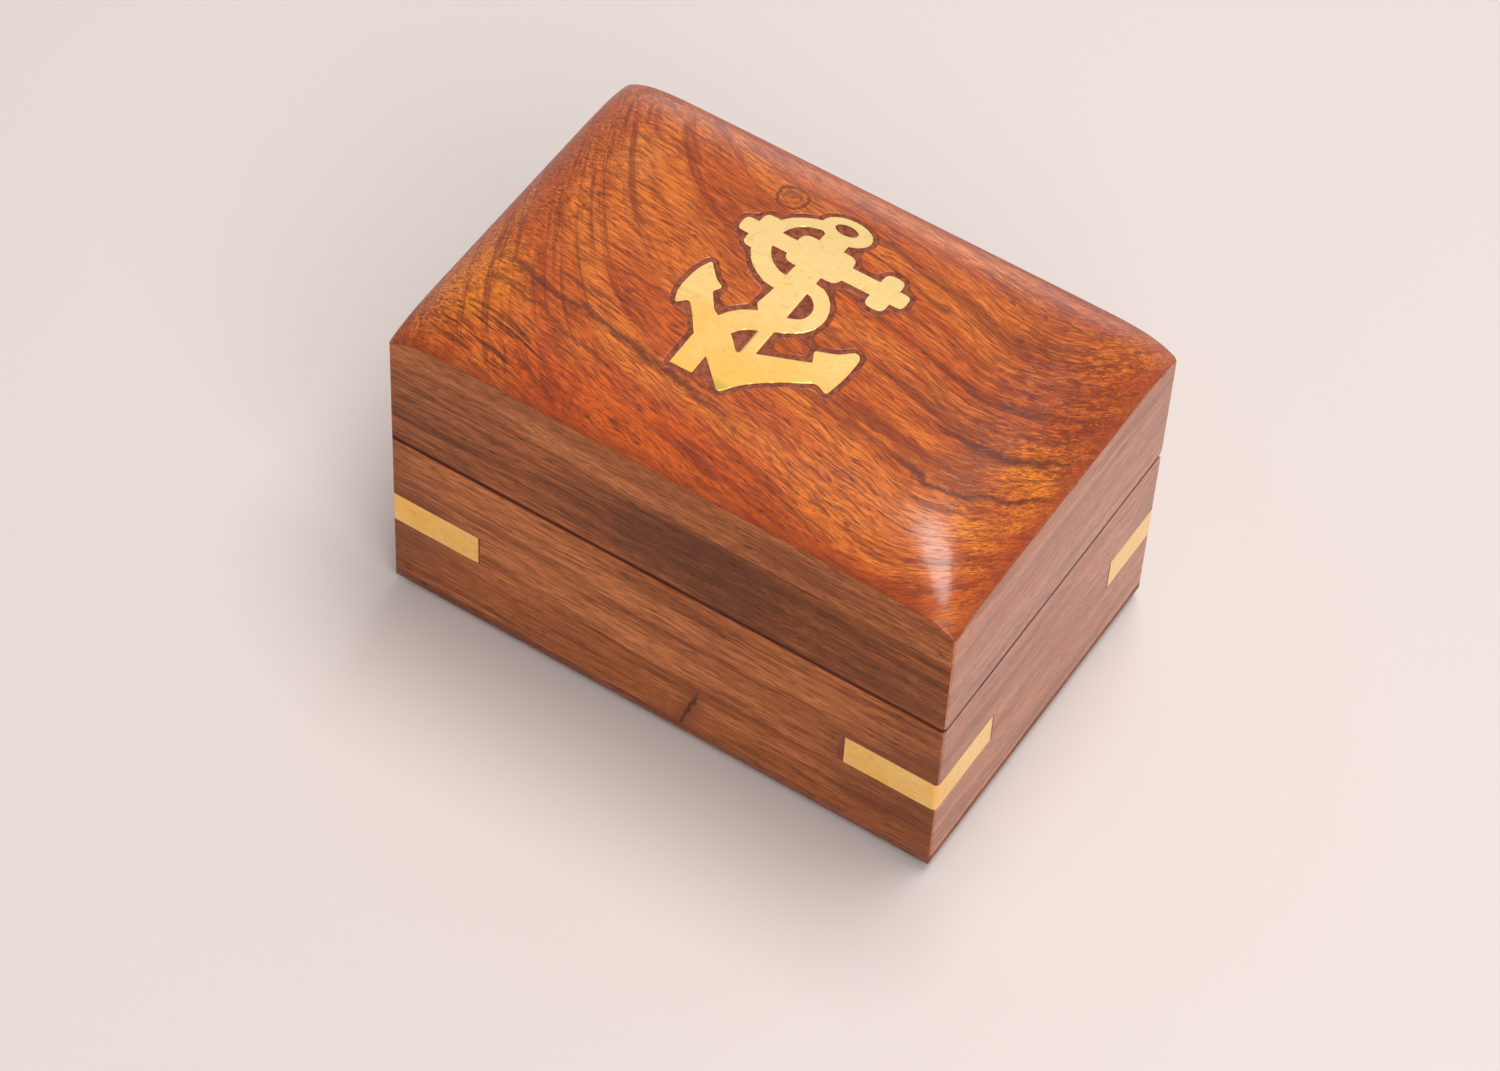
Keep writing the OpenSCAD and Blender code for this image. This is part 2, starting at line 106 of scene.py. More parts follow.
def add_node(tree, kind, feeds=None, **settings):
    """Adds a node, sets its properties and feeds its inputs by name or number."""
    made = tree.nodes.new("ShaderNode" + kind)
    for name, value in settings.items():
        setattr(made, name, value)
    for name, value in (feeds or {}).items():
        if isinstance(value, bpy.types.NodeSocket):
            tree.links.new(value, made.inputs[name])
        else:
            made.inputs[name].default_value = value
    return made


def rescale(tree, value, low, high, to_low=0.0, to_high=1.0):
    """Takes a value from low..high to to_low..to_high, clamped, with soft ends."""
    feeds = {"Value": value, "From Min": low, "From Max": high}
    feeds |= {"To Min": to_low, "To Max": to_high}
    return add_node(tree, "MapRange", feeds, interpolation_type=SOFT).outputs["Result"]


def blend(tree, share, first, second):
    """Mixes two colours by share."""
    feeds = {0: share, 6: first, 7: second}
    return add_node(tree, "Mix", feeds, data_type="RGBA").outputs[2]


# %% [markdown]
# ## Daylight
# Lacquer and brass are mostly what they mirror, so the room matters as much as the lamps. A
# picture of a real room could light the box, but then the script would need a file. A room that
# is painted by direction does as well: it is dim overhead, brighter low down, and brightest low
# behind the box, which gives the far edges of the lid their grey sheen.

# %% Paint the room
SKY_HIGH, SKY_LOW = (0.32, 0.32, 0.33, 1), (0.5, 0.49, 0.48, 1)
SKY_BACK = (1.5, 1.52, 1.55, 1)
# The parts of a direction, along Y and along Z, between which the room changes
BACK_FROM, BACK_FULL = 0.6, 0.95
HIGH_FROM, HIGH_FULL = 0.15, 0.55

bpy.context.scene.view_settings.view_transform = "Standard"
world = bpy.data.worlds.new("room")
bpy.context.scene.world = world
world.use_nodes = True
tree = world.node_tree
way = add_node(tree, "TexCoord").outputs["Generated"]
toward = add_node(tree, "SeparateXYZ", {0: way}).outputs
behind = rescale(tree, toward["Y"], BACK_FROM, BACK_FULL)
high = rescale(tree, toward["Z"], HIGH_FROM, HIGH_FULL)
room = blend(tree, high, blend(tree, behind, SKY_LOW, SKY_BACK), SKY_HIGH)
tree.links.new(room, tree.nodes["Background"].inputs["Color"])
print("the room has", len(tree.nodes), "nodes")

# %% [markdown]
# ## Two soft lamps
# A broad soft light hangs over the box, and the lacquer shows it as one bright spot on the front
# right corner of the top. A second one lights the front from the right. Spot lamps or a sun would
# draw hard shadows. Large area lamps keep them soft, and round ones leave no square reflections
# in the gloss.

# %% Hang the lamps
LAMP_COLOUR = (1, 0.985, 0.96)
# Direction from the box, metres away from it, the lamp's two diameters in metres, and watts
LAMPS = {
    "overhead_light": (Vector((0.13, 0.2, 0.96)), 0.95, (0.68, 0.34), 5.6),
    "front_light": (Vector((0.52, -0.46, 0.72)), 1.2, (0.8, 0.8), 5.8),
}

for name, (direction, distance, size, watts) in LAMPS.items():
    direction = direction.normalized()
    bpy.ops.object.light_add(type="AREA", location=direction * distance)
    lamp = bpy.context.object
    lamp.name = name
    lamp.data.shape = "ELLIPSE"
    lamp.data.size, lamp.data.size_y = size
    lamp.data.energy = watts
    lamp.data.color = LAMP_COLOUR
    lamp.rotation_euler = (-direction).to_track_quat("-Z", "Y").to_euler()
    print(name, "of", watts, "W at", [round(c, 2) for c in lamp.location])

# %% [markdown]
# ## The floor
# The box stands on a plain pale surface. A studio has a paper roll that curves up behind the
# object, but this camera looks down and never sees the far end, so one large flat sheet does. Its
# matt paint bounces a little warm light back on the walls.

# %% Lay the floor
FLOOR_SIZE = 6  # metres
FLOOR_COLOUR, FLOOR_ROUGH = (0.72, 0.645, 0.615, 1), 0.8

bpy.ops.mesh.primitive_plane_add(size=FLOOR_SIZE, location=(0, 0, 0))
floor = bpy.context.object
floor.name = "floor"
paint = bpy.data.materials.new("floor_paint")
paint.use_nodes = True
shader = paint.node_tree.nodes["Principled BSDF"]
shader.inputs["Base Color"].default_value = FLOOR_COLOUR
shader.inputs["Roughness"].default_value = FLOOR_ROUGH
floor.data.materials.append(paint)
print("floor is", FLOOR_SIZE, "m wide")

# %% [markdown]
# ## Tools for the pieces
# A wooden piece could be modelled afresh, but then its size might drift from the model's. So each
# one starts as a copy of the CAD solid of the same name. The solid is made of loose triangles, so
# the copy's corners are joined and its flat faces made whole before any edge is worked.

# %% Select, copy and edit a solid
SAME_PLACE = 1e-6  # metres
SAME_PLANE = math.radians(0.2)


def select_only(piece):
    """Makes piece the one selected and active object."""
    if bpy.context.object and bpy.context.object.mode != "OBJECT":
        bpy.ops.object.mode_set(mode="OBJECT")
    bpy.ops.object.select_all(action="DESELECT")
    piece.hide_viewport = False
    piece.select_set(True)
    bpy.context.view_layer.objects.active = piece


def edit_whole(piece):
    """Opens edit mode on the piece with all of it selected."""
    select_only(piece)
    bpy.ops.object.mode_set(mode="EDIT")
    bpy.ops.mesh.select_all(action="SELECT")


def copy_solid(node, name):
    """A free copy of a CAD solid, its corners joined and its flat faces whole."""
    piece = bpy.data.objects.new(name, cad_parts[node].data.copy())
    bpy.context.collection.objects.link(piece)
    edit_whole(piece)
    bpy.ops.mesh.remove_doubles(threshold=SAME_PLACE)
    bpy.ops.mesh.dissolve_limited(angle_limit=SAME_PLANE)
    bpy.ops.object.mode_set(mode="OBJECT")
    return piece


def heights(node):
    """The lowest and the highest z of a CAD solid, in millimetres."""
    return tuple(corner.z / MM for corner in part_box(node))


# %% [markdown]
# Edges and faces are picked in code by their place, as a maker picks them by eye. Every dressed
# piece then ends the same way: its gentle edges are shaded smooth, it rides on the base or on the
# lid, and it hides the plain solid that it stands for.

# %% Pick edges, round them and finish a piece
SMOOTH_BELOW = math.radians(32)


def pick(piece, kind, wanted):
    """Selects the edges or faces that pass the test, in edit mode, and counts them."""
    select_only(piece)
    bpy.ops.object.mode_set(mode="EDIT")
    bpy.ops.mesh.select_mode(type=kind)
    bpy.ops.mesh.select_all(action="DESELECT")
    bpy.ops.object.mode_set(mode="OBJECT")
    chosen = 0
    for part in piece.data.edges if kind == "EDGE" else piece.data.polygons:
        part.select = wanted(part)
        chosen += part.select
    bpy.ops.object.mode_set(mode="EDIT")
    return chosen


def round_edges(piece, wanted, width, segments=2):
    """Rounds the edges whose two ends both pass the test wanted(x, y, z), in millimetres."""
    ends = [wanted(*(v.co / MM)) for v in piece.data.vertices]
    chosen = pick(piece, "EDGE", lambda edge: all(ends[i] for i in edge.vertices))
    if chosen:
        bpy.ops.mesh.bevel(offset=width * MM, segments=segments, profile=0.5, clamp_overlap=True)
    bpy.ops.object.mode_set(mode="OBJECT")
    return chosen


def finish_piece(piece, body, slot, *stands_for):
    """Shades the piece, hangs it on its body and lets it stand for its CAD solids."""
    select_only(piece)
    bpy.ops.object.shade_smooth_by_angle(angle=SMOOTH_BELOW)
    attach(piece, body)
    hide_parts(*stands_for)


# %% [markdown]
# ## The walls
# The joiner glues up the box with sharp edges and then breaks every edge with fine paper. So the
# rims of base and lid are rounded a quarter of a millimetre, and a hairline stays where the top
# board and the bottom board are glued on. A bevel on the whole piece would round the mitres too
# and open gaps at the corners, so only the long edges are picked: outside, inside and at the glue.

# %% Tell the outside of the box from its inside
WALL_T, CORNER_EASE = 6.5, 0.8
HALF_L, HALF_W = START[1].x / MM, START[1].y / MM
# How far a place in the plan, and a level, may be off and still count
SLACK, LEVEL_SLACK = 0.05, 0.02
# For each body, the height of its rim and of its glued edge
RIM_Z = {"base": heights("base_front_wall")[::-1], "lid": heights("lid_front_rail")}


def on_outside(x, y):
    """Whether a plan point lies on the outer faces or the eased corners of the box."""
    reach = CORNER_EASE + SLACK
    return abs(x) > HALF_L - reach or abs(y) > HALF_W - reach


def on_inside(x, y):
    """Whether a plan point lies on the inner faces of the walls or within them."""
    reach = WALL_T - SLACK
    return abs(x) < HALF_L - reach and abs(y) < HALF_W - reach


def is_level(z, level):
    """Whether z lies at a level, in millimetres."""
    return abs(z - level) < LEVEL_SLACK


for body, (rim, glued) in RIM_Z.items():
    print(body, "has its rim at", round(rim, 2), "mm and its glued edge at", round(glued, 2))

# %% Ease the rims of the walls and rails
RIM_EASE, GLUE_LINE = 0.28, 0.05
SIDES = ("front", "back", "left", "right")

for side in SIDES:
    for body, part in (("base", "wall"), ("lid", "rail")):
        node = f"{body}_{side}_{part}"
        piece = copy_solid(node, f"eased_{node}")
        rim, glued = RIM_Z[body]
        rounded = round_edges(
            piece,
            lambda x, y, z: is_level(z, rim) and (on_outside(x, y) or on_inside(x, y)),
            RIM_EASE,
        )
        rounded += round_edges(
            piece, lambda x, y, z: is_level(z, glued) and on_outside(x, y), GLUE_LINE, 1
        )
        finish_piece(piece, body, "side_wood", node)
        print(node, "has", rounded, "rounded edges")

# %% [markdown]
# ## The bottom board
# The board under the walls already has its rounded lower edges in the CAD model. It could be left
# as it is, but a real glue joint never closes to nothing, so its top edge loses a twentieth of a
# millimetre. That draws the fine dark line between board and walls.

# %% Dress the bottom board
board = copy_solid("base_board", "bottom_board")
BOARD_TOP = heights("base_board")[1]
round_edges(board, lambda x, y, z: is_level(z, BOARD_TOP), GLUE_LINE, 1)
finish_piece(board, "base", "board_wood", "base_board")
print("bottom board:", len(board.data.polygons), "faces")

# %% [markdown]
# ## The crown of the top
# The top is planed and sanded to a crown: it falls gently towards the long edges and late and
# fast towards the ends, and the two falls meet in soft hips that run to the corners. The CAD
# solid has it in broad facets, and smooth shading can't hide them, because a gloss finish mirrors
# the room. A subdivision surface would be smooth but would miss the measured heights. A formula
# gives both, and the anchor and its filling can be cut to the very same surface, as on the real
# lid, where all three are sanded together.

# %% Work out the crown
BOARD_UNDER, CROWN_TOP = heights("lid_top_board")
SHORT_EDGE_FALL, LONG_EDGE_FALL = 5.8, 4.45
END_POWER, SIDE_POWER, HIP_POWER = 8.5, 4.5, 1.9
EDGE_ROUND = 0.45


def crown_height(x, y):
    """Height of the crown over the plan point x, y, in millimetres."""
    along = SHORT_EDGE_FALL * (np.abs(x) / HALF_L) ** END_POWER
    across = LONG_EDGE_FALL * (np.abs(y) / HALF_W) ** SIDE_POWER
    return CROWN_TOP - (along**HIP_POWER + across**HIP_POWER) ** (1 / HIP_POWER)


def edge_drop(x, y):
    """How far the sanded edge lies under the crown near the outline of the plan."""
    over_x = np.maximum(np.abs(x) - HALF_L + CORNER_EASE, 0)
    over_y = np.maximum(np.abs(y) - HALF_W + CORNER_EASE, 0)
    inner = np.minimum(HALF_L - np.abs(x), HALF_W - np.abs(y))
    corner = (over_x > 0) & (over_y > 0)
    depth = np.where(corner, CORNER_EASE - np.hypot(over_x, over_y), inner)
    reach = np.clip(EDGE_ROUND - depth, 0, EDGE_ROUND)
    return EDGE_ROUND - np.sqrt(EDGE_ROUND**2 - reach**2)


for spot, x, y in (("end", HALF_L, 0), ("side", 0, HALF_W), ("corner", HALF_L, HALF_W)):
    print("the crown falls", round(float(CROWN_TOP - crown_height(x, y)), 2), "mm at the", spot)

# %% [markdown]
# The block under the crown starts as a flat grid that is extruded down. Its lines lie half a
# millimetre apart, and much closer where the edge turns. They run a little past the plan, so that
# the outline can be cut cleanly afterwards.

# %% Make a block under the crown
CELL = 0.5
# How far inside the edge the closest grid lines lie; the first lies outside it
EDGE_STEPS = (-0.6, 0, 0.03, 0.07, 0.12, 0.18, 0.26, 0.36, 0.48, 0.65, 0.9)


def stations(half):
    """Places of the grid lines across the plan: even, and closer together at the edges."""
    edge = half - np.array(EDGE_STEPS)
    inner = np.linspace(-edge[-1], edge[-1], round(2 * edge[-1] / CELL) + 1)
    return np.concatenate([-edge, inner[1:-1], edge[::-1]])


def face_out(piece):
    """Turns all faces of a closed piece outwards."""
    edit_whole(piece)
    bpy.ops.mesh.normals_make_consistent(inside=False)
    bpy.ops.object.mode_set(mode="OBJECT")


def crown_block(name, drop=0.0):
    """A block under the crown, lowered by drop, and a little larger than the plan."""
    xs, ys = stations(HALF_L), stations(HALF_W)
    bpy.ops.mesh.primitive_grid_add(
        x_subdivisions=len(xs) - 1, y_subdivisions=len(ys) - 1, size=2
    )
    block = bpy.context.object
    block.name = name
    edit_whole(block)
    bpy.ops.mesh.extrude_region_move(TRANSFORM_OT_translate={"value": (0, 0, -1)})
    bpy.ops.object.mode_set(mode="OBJECT")
    at = np.array([v.co for v in block.data.vertices])
    x = xs[np.round((at[:, 0] + 1) / 2 * (len(xs) - 1)).astype(int)]
    y = ys[np.round((at[:, 1] + 1) / 2 * (len(ys) - 1)).astype(int)]
    top_z = crown_height(x, y) - edge_drop(x, y) - drop
    z = np.where(at[:, 2] < -0.5, BOARD_UNDER, top_z)
    block.data.vertices.foreach_set("co", (np.column_stack([x, y, z]) * MM).ravel())
    block.data.update()
    face_out(block)
    return block


print("grid lines over the plan:", len(stations(HALF_L)), "by", len(stations(HALF_W)))

# %% [markdown]
# The outline could be cut with bisect, one plane for each side, but the corners of the box are
# rounded. So the plan is made as one upright block with rounded corners, and a boolean keeps what
# both blocks share.

# %% Cut the crowned top to the plan
CORNER_SEGMENTS, OVERSHOOT = 8, 1


def boolean(piece, tool, operation):
    """Cuts or crosses piece with tool, and throws the tool away."""
    cut = piece.modifiers.new("cut", "BOOLEAN")
    cut.operation, cut.solver, cut.object = operation, "EXACT", tool
    select_only(piece)
    bpy.ops.object.modifier_apply(modifier="cut")
    bpy.data.objects.remove(tool, do_unlink=True)


def plan_prism(low, high):
    """The plan of the lid as an upright block with rounded corners, from low to high."""
    bpy.ops.mesh.primitive_cube_add(size=1, location=(0, 0, 0))
    prism = bpy.context.object
    edit_whole(prism)
    bpy.ops.transform.resize(value=(2 * HALF_L * MM, 2 * HALF_W * MM, (high - low) * MM))
    bpy.ops.transform.translate(value=(0, 0, (low + high) / 2 * MM))

    def upright(edge):
        first, second = (prism.data.vertices[i].co for i in edge.vertices)
        return abs(first.z - second.z) > MM

    pick(prism, "EDGE", upright)
    bpy.ops.mesh.bevel(offset=CORNER_EASE * MM, segments=CORNER_SEGMENTS)
    bpy.ops.object.mode_set(mode="OBJECT")
    return prism


top = crown_block("crowned_top")
boolean(top, plan_prism(BOARD_UNDER - OVERSHOOT, CROWN_TOP + OVERSHOOT), "INTERSECT")
print("crowned top:", len(top.data.polygons), "faces")

# %% [markdown]
# ## Pocket, filling and anchor
# The maker cuts a pocket into the top, lays the anchor of sheet brass in it, fills the gap round
# it with dark resin and sands everything flush. The three could be modelled with a gap between
# them, but on the real lid there is none. Each CAD solid has the right outline on its flat
# underside, so that outline is raised to a cutting tool, and the same tool cuts the pocket and
# leaves the piece that fills it. The resin lies a little lower, because it wears faster.

# %% Cut the pocket, the filling and the anchor
FILLING_SINK = 0.08
FACES_DOWN = -0.9
TOOL_TOP = CROWN_TOP + OVERSHOOT


def lifted_outline(node, high=TOOL_TOP):
    """The outline of a CAD solid's flat underside, raised to high as a cutting tool."""
    level = heights(node)[0]
    tool = copy_solid(node, "tool")

    def is_spare(face):
        return not (face.normal.z < FACES_DOWN and is_level(face.center.z / MM, level))

    pick(tool, "FACE", is_spare)
    bpy.ops.mesh.delete(type="FACE")
    bpy.ops.mesh.select_all(action="SELECT")
    bpy.ops.mesh.extrude_region_move(
        TRANSFORM_OT_translate={"value": (0, 0, (high - level) * MM)}
    )
    bpy.ops.object.mode_set(mode="OBJECT")
    face_out(tool)
    return tool


boolean(top, lifted_outline("anchor_filling"), "DIFFERENCE")
finish_piece(top, "lid", "top_wood", "lid_top_board")

filling = crown_block("anchor_bed", FILLING_SINK)
boolean(filling, lifted_outline("anchor_filling"), "INTERSECT")
boolean(filling, lifted_outline("anchor_inlay"), "DIFFERENCE")
finish_piece(filling, "lid", "dark_filling", "anchor_filling")

anchor = crown_block("anchor")
boolean(anchor, lifted_outline("anchor_inlay"), "INTERSECT")
finish_piece(anchor, "lid", "brass", "anchor_inlay")
for piece in (top, filling, anchor):
    print(piece.name, len(piece.data.polygons), "faces")

# %% [markdown]
# ## More node helpers
# Every pattern reads Object coordinates, turned into millimetres, so that sizes in a recipe are
# the sizes on the box. They also stay with the piece when the lid swings. The new helpers work
# out a number, read noise, let a value stray with the noise, find a soft patch round a point, lay
# one colour over another and raise the surface.

# %% Define the helpers for finishes
PATCH_CORE = 0.25


def maths(tree, operation, *values):
    """One Math node; returns its value."""
    return add_node(tree, "Math", dict(enumerate(values)), operation=operation).outputs[0]


def point(tree, x, y, z):
    """A point from its three parts."""
    return add_node(tree, "CombineXYZ", {"X": x, "Y": y, "Z": z}).outputs[0]


def noise(tree, at, detail=2.0, roughness=0.5, distortion=0.0, scale=1.0):
    """Noise read at a point, with scale lumps for each unit of length."""
    feeds = {"Vector": at, "Scale": scale, "Detail": detail}
    feeds |= {"Roughness": roughness, "Distortion": distortion}
    return add_node(tree, "TexNoise", feeds).outputs["Fac"]


def stray(tree, value, shaker, most):
    """Lets a value stray by most times the noise's distance from its middle."""
    return maths(tree, "MULTIPLY_ADD", maths(tree, "SUBTRACT", shaker, 0.5), most, value)


def patch(tree, at, centre, reach):
    """1 round centre, falling softly to 0 at the distances reach along the three axes."""
    off = add_node(tree, "VectorMath", {0: at, 1: centre}, operation="SUBTRACT").outputs[0]
    scale = tuple(1 / r for r in reach)
    near = add_node(tree, "VectorMath", {0: off, 1: scale}, operation="MULTIPLY").outputs[0]
    far = add_node(tree, "VectorMath", {0: near}, operation="LENGTH").outputs["Value"]
    return rescale(tree, far, 1.0, PATCH_CORE)


def lay(tree, colour, share, weight, ink):
    """Lays ink over the colour, as strongly as share times weight."""
    return blend(tree, maths(tree, "MULTIPLY", share, weight), colour, ink)


def emboss(tree, shader, height, strength, depth, socket="Normal"):
    """Raises the surface by height times depth, in millimetres."""
    feeds = {"Strength": strength, "Distance": depth * MM, "Height": height}
    tree.links.new(add_node(tree, "Bump", feeds).outputs[0], shader.inputs[socket])


# %% Start a finish and give it to a piece
def new_finish(name):
    """An empty material: its tree, its shader, and its place in millimetres as point and parts."""
    finish = bpy.data.materials.new(name)
    finish.use_nodes = True
    tree = finish.node_tree
    at = add_node(tree, "TexCoord").outputs["Object"]
    place = add_node(tree, "Mapping", {"Vector": at, "Scale": (1 / MM,) * 3}).outputs[0]
    parts = add_node(tree, "SeparateXYZ", {0: place}).outputs
    return finish, tree, tree.nodes["Principled BSDF"], place, parts


def dress(finish, *names):
    """Gives the finish to the named pieces or CAD solids."""
    for name in names:
        mesh = bpy.data.objects[name].data
        mesh.materials.clear()
        mesh.materials.append(finish)
    print(finish.name, "of", len(finish.node_tree.nodes), "nodes on", len(names), "pieces")


# %% [markdown]
# ## Rosewood
# Rosewood shows bands of lighter and darker heartwood, fine fibres, darker veins, and open pores
# that look like short dark scratches along the grain. A picture of wood could be wrapped round
# each piece, but its seams would show at the edges. Here the figure is solid: noise that is
# stretched along the grain is worked out in all three directions, so faces that meet at an edge
# belong together. First the straight grain is bent, because no plank grows straight.

# %% Bend the grain
# Waves for each millimetre along and across the grain
SLOW_WAVES, FAST_WAVES = (0.022, 0.05), (0.12, 0.3)

# Where a point lies in the plank: along the grain, across it for the fine and the broad figure,
# through the plank, and a seed that sets one plank apart from the next
Grain = namedtuple("Grain", "run fine broad deep seed")


def bent(tree, run, rise, seed, waves, detail, most):
    """The rise across the grain, bent by waves."""
    along, across = (maths(tree, "MULTIPLY", v, w) for v, w in zip((run, rise), waves))
    return stray(tree, rise, noise(tree, point(tree, along, across, seed), detail), most)


def lay_grain(tree, parts, order, how):
    """The grain of a plank. order names the axes along, across and through it."""
    run, rise, deep = (parts[axis] for axis in order)
    flow, seed = how["flow"], how["seed"]
    lifts = flow(tree, parts["X"]) if flow else (0.0, 0.0)
    rises = []
    for lift in lifts:
        lifted = maths(tree, "SUBTRACT", rise, lift)
        slow = bent(tree, run, lifted, seed, SLOW_WAVES, 1.0, how["wander"])
        rises.append(bent(tree, run, slow, seed, FAST_WAVES, 2.0, how["ripple"]))
    broad, fine = rises
    return Grain(run, fine, broad, deep, seed)


# %% [markdown]
# Each kind of figure is then noise in strands of its own length and width. One table holds them
# all, so that the wood is tuned in one place.

# %% Read the figure of the wood
# Length and width in millimetres, a shift that sets the pattern apart, detail and roughness of
# the noise, and the noise values at which the figure starts to show and is full
Figure = namedtuple(
    "Figure",
    "length width shift detail roughness shows full distortion follows",
    defaults=(0.0, "fine"),
)
FIGURES = {
    "bands": Figure(60, 6.0, 0.0, 3.0, 0.6, 0.4, 0.6, follows="broad"),
    "streaks": Figure(38, 2.6, 3.7, 3.0, 0.65, 0.5, 0.64, follows="broad"),
    "veins": Figure(11, 0.7, 8.1, 2.0, 0.6, 0.52, 0.64),
    "fibres": Figure(3.0, 0.3, 1.9, 3.0, 0.7, 0.36, 0.64),
    "pores": Figure(2.6, 0.22, 5.3, 1.0, 0.5, 0.6, 0.7),
    "flecks": Figure(3.0, 0.4, 12.6, 1.0, 0.5, 0.56, 0.7),
    "curls": Figure(5.0, 1.1, 2.2, 3.0, 0.65, 0.46, 0.58, distortion=1.6),
    "lines": Figure(30, 0.55, 6.4, 1.0, 0.5, 0.5, 0.6),
}


def strands(tree, grain, figure):
    """Noise in strands as long and wide as the figure says."""
    across = getattr(grain, figure.follows)
    at = point(
        tree,
        maths(tree, "MULTIPLY_ADD", grain.run, 1 / figure.length, grain.seed + figure.shift),
        maths(tree, "MULTIPLY_ADD", across, 1 / figure.width, figure.shift),
        maths(tree, "MULTIPLY", grain.deep, 1 / figure.width),
    )
    return noise(tree, at, figure.detail, figure.roughness, figure.distortion)


def read_figures(tree, grain, fibre_length):
    """The bare noise of the fibres, and how far each kind of figure shows, from 0 to 1."""
    figures = FIGURES | {"fibres": FIGURES["fibres"]._replace(length=fibre_length)}
    bare = {kind: strands(tree, grain, figure) for kind, figure in figures.items()}
    shows = {
        kind: rescale(tree, bare[kind], figure.shows, figure.full)
        for kind, figure in figures.items()
    }
    return bare["fibres"], shows


# %% [markdown]
# The colour is built up as a stain would be: first the bands, then large soft patches of other
# heartwood with ragged edges, then the finer and finer figure on top, and the black pores last.
# A plank can also have places with curly figure or close dark lines.

# %% Mix the colour of the wood
LUMPS_PER_MM, SHOVE = 0.11, 9.0


def tinted(tree, place, colour, tints):
    """Lays soft patches of colour on the wood, their edges shoved about by lumps."""
    feeds = {"Vector": place, "Scale": LUMPS_PER_MM, "Detail": 2.0}
    lumps = add_node(tree, "TexNoise", feeds).outputs["Color"]
    feeds = {0: lumps, 1: (SHOVE,) * 3}
    push = add_node(tree, "VectorMath", feeds, operation="MULTIPLY").outputs[0]
    pushed = add_node(tree, "VectorMath", {0: place, 1: push}, operation="ADD").outputs[0]
    for centre, reach, tint, weight in tints:
        centre = tuple(c + SHOVE / 2 for c in centre)
        colour = lay(tree, colour, patch(tree, pushed, centre, reach), weight, tint)
    return colour


def wood_colour(tree, place, shows, palette, how):
    """The colour of the wood, from its bands to its pores."""
    pale, middle, dark, black = palette
    colour = blend(tree, shows["bands"], middle, pale)
    colour = tinted(tree, place, colour, how["tints"])
    for kind, ink in (("flecks", pale), ("fibres", dark), ("streaks", dark), ("veins", dark)):
        colour = lay(tree, colour, shows[kind], how[kind], ink)
    for kind, ink in (("curls", dark), ("lines", black)):
        for centre, reach, weight in how[kind]:
            share = maths(tree, "MULTIPLY", shows[kind], patch(tree, place, centre, reach))
            colour = lay(tree, colour, share, weight, ink)
    return lay(tree, colour, shows["pores"], how["pores"], black)


# %% [markdown]
# Wood is never evenly glossy. Fibres change its roughness a little, and they and the open pores
# give it a fine relief. Lacquer lies over that as a second, smoother skin, which sinks into the
# pores and ripples slowly. Principled BSDF has a coat of its own for such a skin, so no second
# shader has to be mixed in.

# %% Give the wood its surface
# The noise values between which the fibres change the roughness, and by how much each way
FIBRE_RANGE, ROUGH_SPREAD = (0.3, 0.7), 0.05
# The height of a fibre against a pore, the strength of the relief and its depth in millimetres
FIBRE_HEIGHT, WOOD_STRENGTH, WOOD_RELIEF = 0.3, 0.5, 0.03
RIPPLES_PER_MM, RIPPLE_HEIGHT, PORE_SINK = 0.35, 1.5, -0.5
SKIN_STRENGTH, SKIN_RELIEF = 0.6, 0.03


def wood_surface(tree, shader, fibres, pores, rough, shine):
    """Roughness that changes with the fibres, and relief from fibres and pores."""
    ends = (rough - ROUGH_SPREAD, rough + ROUGH_SPREAD)
    tree.links.new(rescale(tree, fibres, *FIBRE_RANGE, *ends), shader.inputs["Roughness"])
    shader.inputs["Specular IOR Level"].default_value = shine
    relief = maths(tree, "SUBTRACT", maths(tree, "MULTIPLY", fibres, FIBRE_HEIGHT), pores)
    emboss(tree, shader, relief, WOOD_STRENGTH, WOOD_RELIEF)


def lacquer(tree, shader, place, pores, weight, rough):
    """A coat that ripples slowly and sinks into the pores."""
    shader.inputs["Coat Weight"].default_value = weight
    shader.inputs["Coat Roughness"].default_value = rough
    ripples = noise(tree, place, 1.0, scale=RIPPLES_PER_MM)
    sunk = maths(tree, "MULTIPLY", pores, PORE_SINK)
    skin = maths(tree, "MULTIPLY_ADD", ripples, RIPPLE_HEIGHT, sunk)
    emboss(tree, shader, skin, SKIN_STRENGTH, SKIN_RELIEF, "Coat Normal")


# %% [markdown]
# Now one function can turn out any plank. What most planks share is kept in a table of usual
# values, and a plank names only what differs: its palette, the way its grain runs, its seed, its
# patches and its gloss.

# %% Put the rosewood together
# Marks are a function that adds what only this plank has. Wander and ripple are in millimetres,
# and the kinds of figure have the weights of their colour.
USUAL = {
    "flow": None,
    "marks": None,
    "tints": (),
    "curls": (),
    "lines": (),
    "wander": 6.0,
    "ripple": 1.7,
    "fibre_length": 3.0,
    "flecks": 0.25,
    "fibres": 0.7,
    "streaks": 0.6,
    "veins": 0.55,
    "pores": 0.65,
    "coat": 0.0,
}


def rosewood(name, palette, order, **how):
    """A rosewood finish from a palette, the order of the axes and what differs from the usual."""
    how = USUAL | how
    finish, tree, shader, place, parts = new_finish(name)
    grain = lay_grain(tree, parts, order, how)
    fibres, shows = read_figures(tree, grain, how["fibre_length"])
    colour = wood_colour(tree, place, shows, palette, how)
    if how["marks"]:
        colour = how["marks"](tree, place, parts, colour)
    tree.links.new(colour, shader.inputs["Base Color"])
    wood_surface(tree, shader, fibres, shows["pores"], how["rough"], how["shine"])
    if how["coat"]:
        lacquer(tree, shader, place, shows["pores"], how["coat"], how["coat_rough"])
    return finish


